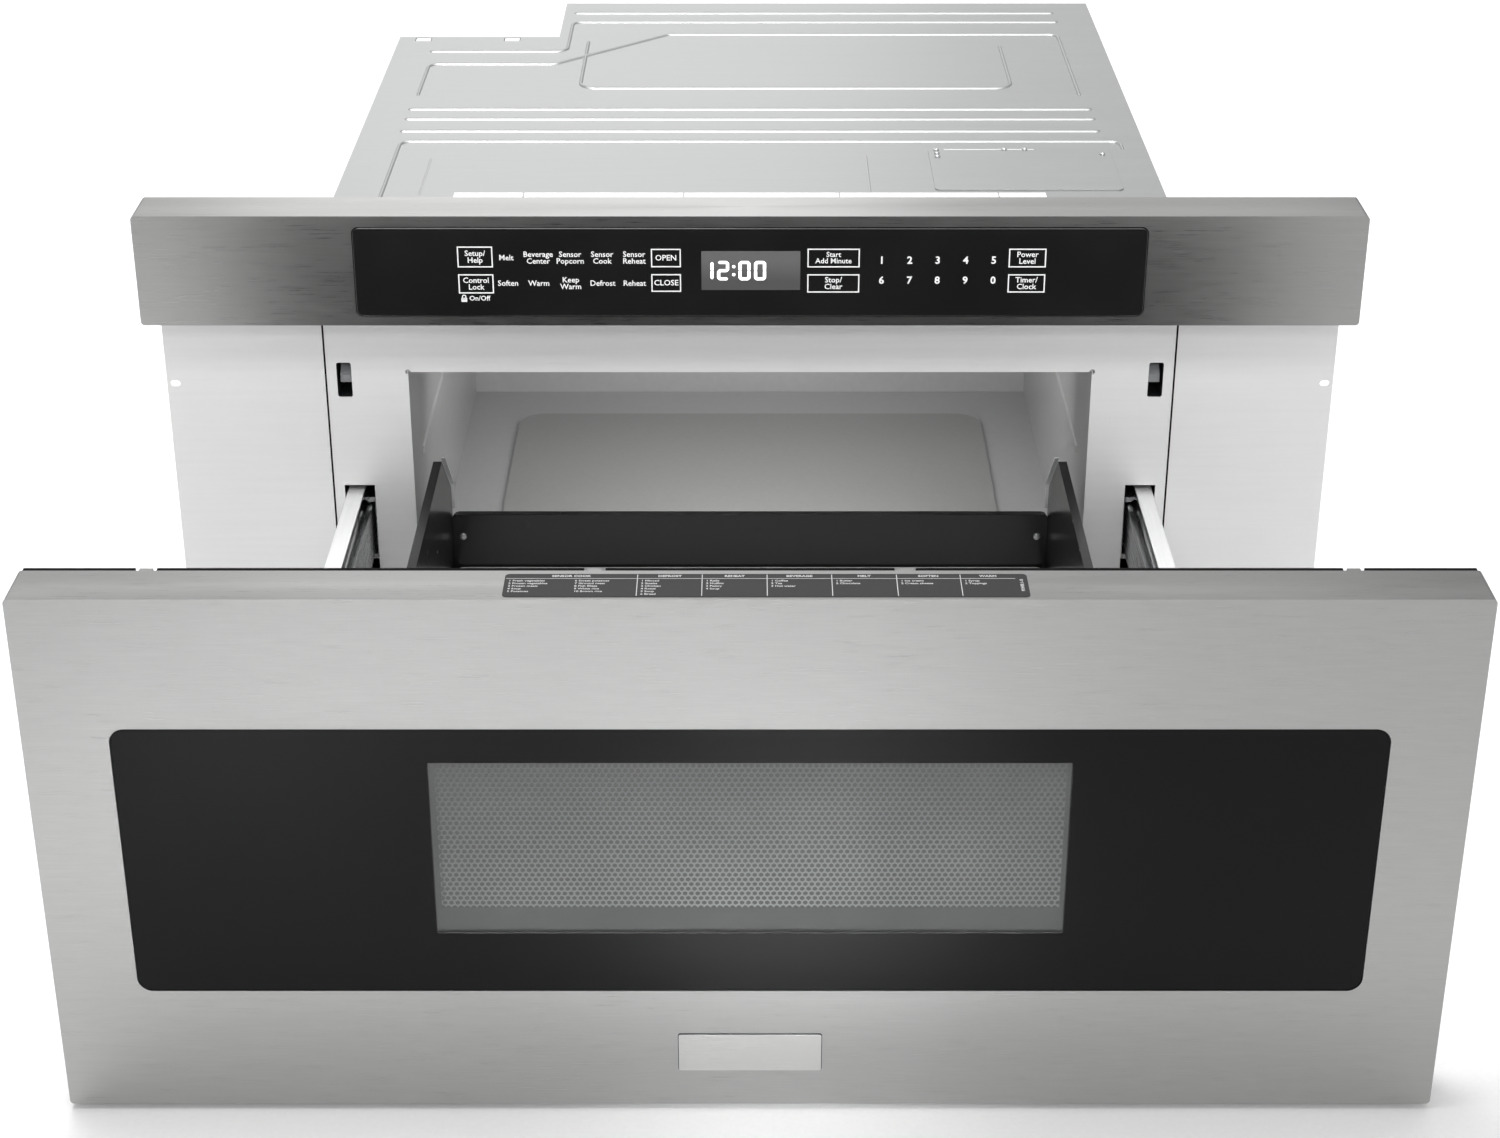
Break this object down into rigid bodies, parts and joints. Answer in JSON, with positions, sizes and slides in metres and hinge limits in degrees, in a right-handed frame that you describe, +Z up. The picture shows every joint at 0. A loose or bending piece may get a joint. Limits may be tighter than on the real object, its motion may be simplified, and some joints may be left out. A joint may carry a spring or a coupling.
{
  "type": "microwave drawer",
  "caption": "Built-in microwave drawer with a stainless front, shown drawn out on telescopic slides driven by rack and pinion, under a glass control fascia.",
  "frame": {"origin": "middle of the width, in the plane of the flange's front face, on the underside of the base", "axes": "+X to the cook's right, -Y towards the cook, +Z up"},
  "size_m": [0.759, 0.9523, 0.3982],
  "materials": {
    "front_steel": "stainless sheet, ground along its length",
    "drawer_glass": "toughened glass, tinted black",
    "control_glass": "glossy black panel glass with ground edges",
    "flange_steel": "pale grey coated steel sheet",
    "casing_steel": "galvanised steel sheet, dull",
    "cavity_enamel": "grey baked enamel, satin",
    "antenna_ceramic": "smooth pale ceramic plate",
    "gasket_foam": "white sealing foam",
    "gland_nylon": "moulded black nylon",
    "guide_aluminium": "aluminised sheet",
    "motor_case": "plated motor can",
    "magnetron_steel": "plated yoke and fins",
    "transformer_iron": "varnished laminations and windings",
    "capacitor_can": "drawn aluminium can",
    "board_laminate": "green circuit laminate",
    "lamp_steel": "zinc plated lamp housing",
    "fan_plastic": "white moulded plastic",
    "carrier_plastic": "black moulded plastic",
    "latch_plastic": "black moulded plastic",
    "rail_steel": "dark plated cold rolled steel, greased",
    "cage_steel": "stamped bright steel with polished balls",
    "carrier_steel": "bright zinc plated steel",
    "rack_nylon": "natural nylon",
    "shaft_steel": "ground steel bar",
    "bush_bronze": "sintered bronze",
    "panel_enamel": "grey coated pressed steel",
    "cover_plastic": "black moulded plastic, satin",
    "box_plastic": "glossy black moulded plastic",
    "floor_ceramic": "black glass ceramic plate",
    "frame_plastic": "black filled plastic"
  },
  "bodies": {
    "housing": {"access_cover": "casing_steel", "antenna_cover": "antenna_ceramic", "antenna_motor": "motor_case", "base_plate": "casing_steel", "case_sides": "casing_steel", "case_top": "casing_steel", "cavity": "cavity_enamel", "control_board": "board_laminate", "control_carrier": "carrier_plastic", "control_glass": "control_glass", "cord_gland": "gland_nylon", "drive_motor": "motor_case", "fan_motor": "motor_case", "fan_shroud": "fan_plastic", "fascia": "front_steel", "front_plate": "flange_steel", "hv_capacitor": "capacitor_can", "hv_transformer": "transformer_iron", "interlock_switches": "latch_plastic", "latch_housings": "latch_plastic", "magnetron": "magnetron_steel", "noise_filter": "board_laminate", "oven_lamp": "lamp_steel", "rear_panel": "casing_steel", "shaft_bushes": "bush_bronze", "slide_cabinet_left": "rail_steel", "slide_cabinet_right": "rail_steel", "slide_supports": "casing_steel", "top_gasket": "gasket_foam", "waveguide": "guide_aluminium", "wing_left": "flange_steel", "wing_right": "flange_steel"},
    "drawer": {"drawer_skin": "front_steel", "drawer_glass": "drawer_glass", "choke_panel": "panel_enamel", "choke_cover": "cover_plastic", "drawer_wall_left": "box_plastic", "drawer_wall_right": "box_plastic", "drawer_back": "box_plastic", "drawer_floor": "floor_ceramic", "floor_frame": "frame_plastic", "slide_drawer_left": "rail_steel", "slide_drawer_right": "rail_steel", "slide_carriers": "carrier_steel", "drawer_racks": "rack_nylon", "latch_strikers": "carrier_steel"},
    "middle_member_left": {"slide_middle_left": "rail_steel"},
    "middle_member_right": {"slide_middle_right": "rail_steel"},
    "outer_cage_left": {"cage_outer_left": "cage_steel"},
    "outer_cage_right": {"cage_outer_right": "cage_steel"},
    "inner_cage_left": {"cage_inner_left": "cage_steel"},
    "inner_cage_right": {"cage_inner_right": "cage_steel"},
    "cross_shaft": {"drive_shaft": "shaft_steel", "drive_gears": "rack_nylon"},
    "motor_pinion": {"motor_gear": "rack_nylon"},
    "fan": {"fan_impeller": "fan_plastic"},
    "stirrer": {"rotating_antenna": "guide_aluminium"},
    "lever_left": {"latch_lever_left": "latch_plastic"},
    "lever_right": {"latch_lever_right": "latch_plastic"}
  },
  "joints": [
    {"name": "drawer_slide", "type": "slide", "parent": "housing", "child": "drawer", "axis": [0, 1, 0], "range_m": [0, 0.36]},
    {"name": "middle_slide_left", "type": "slide", "parent": "housing", "child": "middle_member_left", "axis": [0, 1, 0], "range_m": [0, 0.18]},
    {"name": "middle_slide_right", "type": "slide", "parent": "housing", "child": "middle_member_right", "axis": [0, 1, 0], "range_m": [0, 0.18]},
    {"name": "outer_cage_slide_left", "type": "slide", "parent": "housing", "child": "outer_cage_left", "axis": [0, 1, 0], "range_m": [0, 0.09]},
    {"name": "outer_cage_slide_right", "type": "slide", "parent": "housing", "child": "outer_cage_right", "axis": [0, 1, 0], "range_m": [0, 0.09]},
    {"name": "inner_cage_slide_left", "type": "slide", "parent": "housing", "child": "inner_cage_left", "axis": [0, 1, 0], "range_m": [0, 0.27]},
    {"name": "inner_cage_slide_right", "type": "slide", "parent": "housing", "child": "inner_cage_right", "axis": [0, 1, 0], "range_m": [0, 0.27]},
    {"name": "shaft_spin", "type": "hinge", "parent": "housing", "child": "cross_shaft", "pos_m": [0, 0.03, 0.086], "axis": [-1, 0, 0], "range_deg": [0, 1376]},
    {"name": "motor_gear_spin", "type": "hinge", "parent": "housing", "child": "motor_pinion", "pos_m": [0.236, 0.05227, 0.06373], "axis": [1, 0, 0], "range_deg": [0, 1834]},
    {"name": "fan_spin", "type": "hinge", "parent": "housing", "child": "fan", "pos_m": [0.15, 0.53, 0.25], "axis": [0, 1, 0], "continuous": true},
    {"name": "stirrer_spin", "type": "hinge", "parent": "housing", "child": "stirrer", "pos_m": [0, 0.201, 0.088], "axis": [0, 0, 1], "continuous": true},
    {"name": "lever_swing_left", "type": "hinge", "parent": "housing", "child": "lever_left", "pos_m": [-0.261, 0.035, 0.283], "axis": [-1, 0, 0], "range_deg": [0, 10], "stiffness_Nm_per_rad": 0.05, "springref_deg": -17.19},
    {"name": "lever_swing_right", "type": "hinge", "parent": "housing", "child": "lever_right", "pos_m": [0.261, 0.035, 0.283], "axis": [-1, 0, 0], "range_deg": [0, 10], "stiffness_Nm_per_rad": 0.05, "springref_deg": -17.19}
  ],
  "couplings": [
    {"joint": "middle_slide_left", "follows": "drawer_slide", "ratio": 0.5},
    {"joint": "middle_slide_right", "follows": "drawer_slide", "ratio": 0.5},
    {"joint": "outer_cage_slide_left", "follows": "drawer_slide", "ratio": 0.25},
    {"joint": "outer_cage_slide_right", "follows": "drawer_slide", "ratio": 0.25},
    {"joint": "inner_cage_slide_left", "follows": "drawer_slide", "ratio": 0.75},
    {"joint": "inner_cage_slide_right", "follows": "drawer_slide", "ratio": 0.75},
    {"joint": "shaft_spin", "follows": "drawer_slide", "rad_per_m": 66.667},
    {"joint": "motor_gear_spin", "follows": "drawer_slide", "rad_per_m": 88.889}
  ]
}
